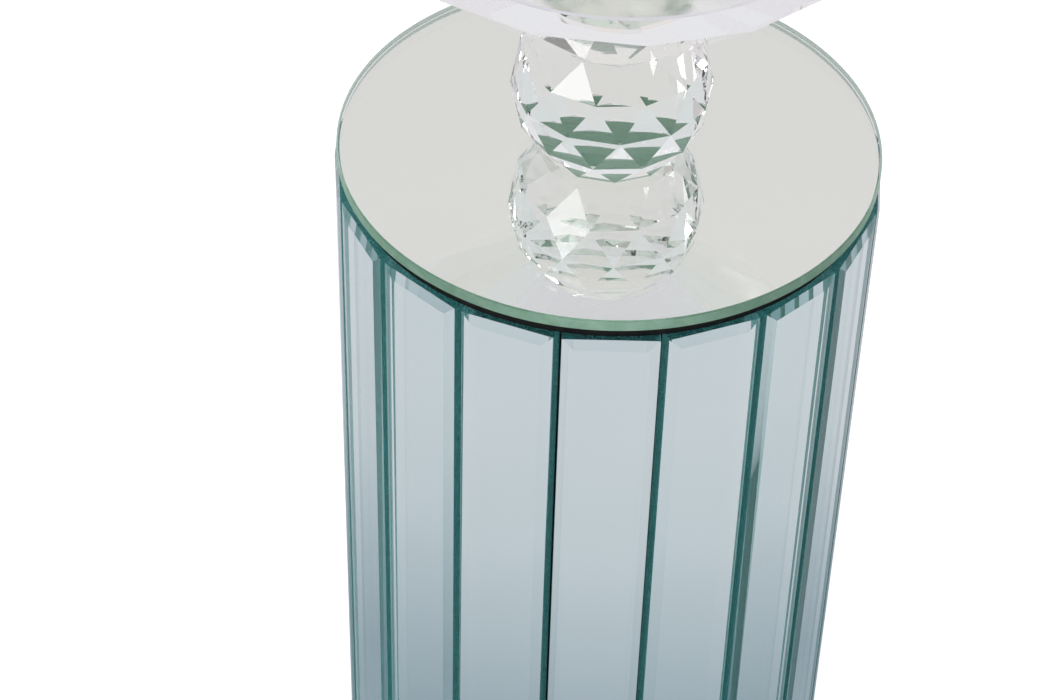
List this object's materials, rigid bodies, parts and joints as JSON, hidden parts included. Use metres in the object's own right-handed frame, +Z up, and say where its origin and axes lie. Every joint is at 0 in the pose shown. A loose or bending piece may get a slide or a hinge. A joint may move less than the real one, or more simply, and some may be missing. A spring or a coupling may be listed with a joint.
{
  "type": "pillar candle holder",
  "caption": "Tall mirrored pillar candle holder: bevelled mirror strips around a round column, mirror top, faceted crystal ball and wide faceted crystal candle dish.",
  "frame": {"origin": "centre of the felt base, on the surface that the holder stands on", "axes": "+Z up along the column, -Y the front, facing the middle of one mirror strip"},
  "size_m": [0.1114, 0.1109, 0.3],
  "materials": {
    "felt": "black felt",
    "black_board": "fibreboard, painted matt black",
    "black_adhesive": "matt mounting adhesive",
    "disc_mirror": "back-silvered float glass with a flat polished edge",
    "strip_mirror": "back-silvered bevelled float glass",
    "crystal": "clear polished facets"
  },
  "bodies": {
    "root": {"base_felt": "felt", "core_base_plate": "black_board", "core_tube": "black_board", "core_top_plate": "black_board", "top_mirror_pad": "black_adhesive", "top_mirror": "disc_mirror", "crystal_ball": "crystal", "crystal_dish": "crystal", "strip_adhesive": "black_adhesive", "mirror_strip_01": "strip_mirror", "mirror_strip_02": "strip_mirror", "mirror_strip_03": "strip_mirror", "mirror_strip_04": "strip_mirror", "mirror_strip_05": "strip_mirror", "mirror_strip_06": "strip_mirror", "mirror_strip_07": "strip_mirror", "mirror_strip_08": "strip_mirror", "mirror_strip_09": "strip_mirror", "mirror_strip_10": "strip_mirror", "mirror_strip_11": "strip_mirror", "mirror_strip_12": "strip_mirror", "mirror_strip_13": "strip_mirror", "mirror_strip_14": "strip_mirror", "mirror_strip_15": "strip_mirror", "mirror_strip_16": "strip_mirror", "mirror_strip_17": "strip_mirror"}
  },
  "joints": []
}
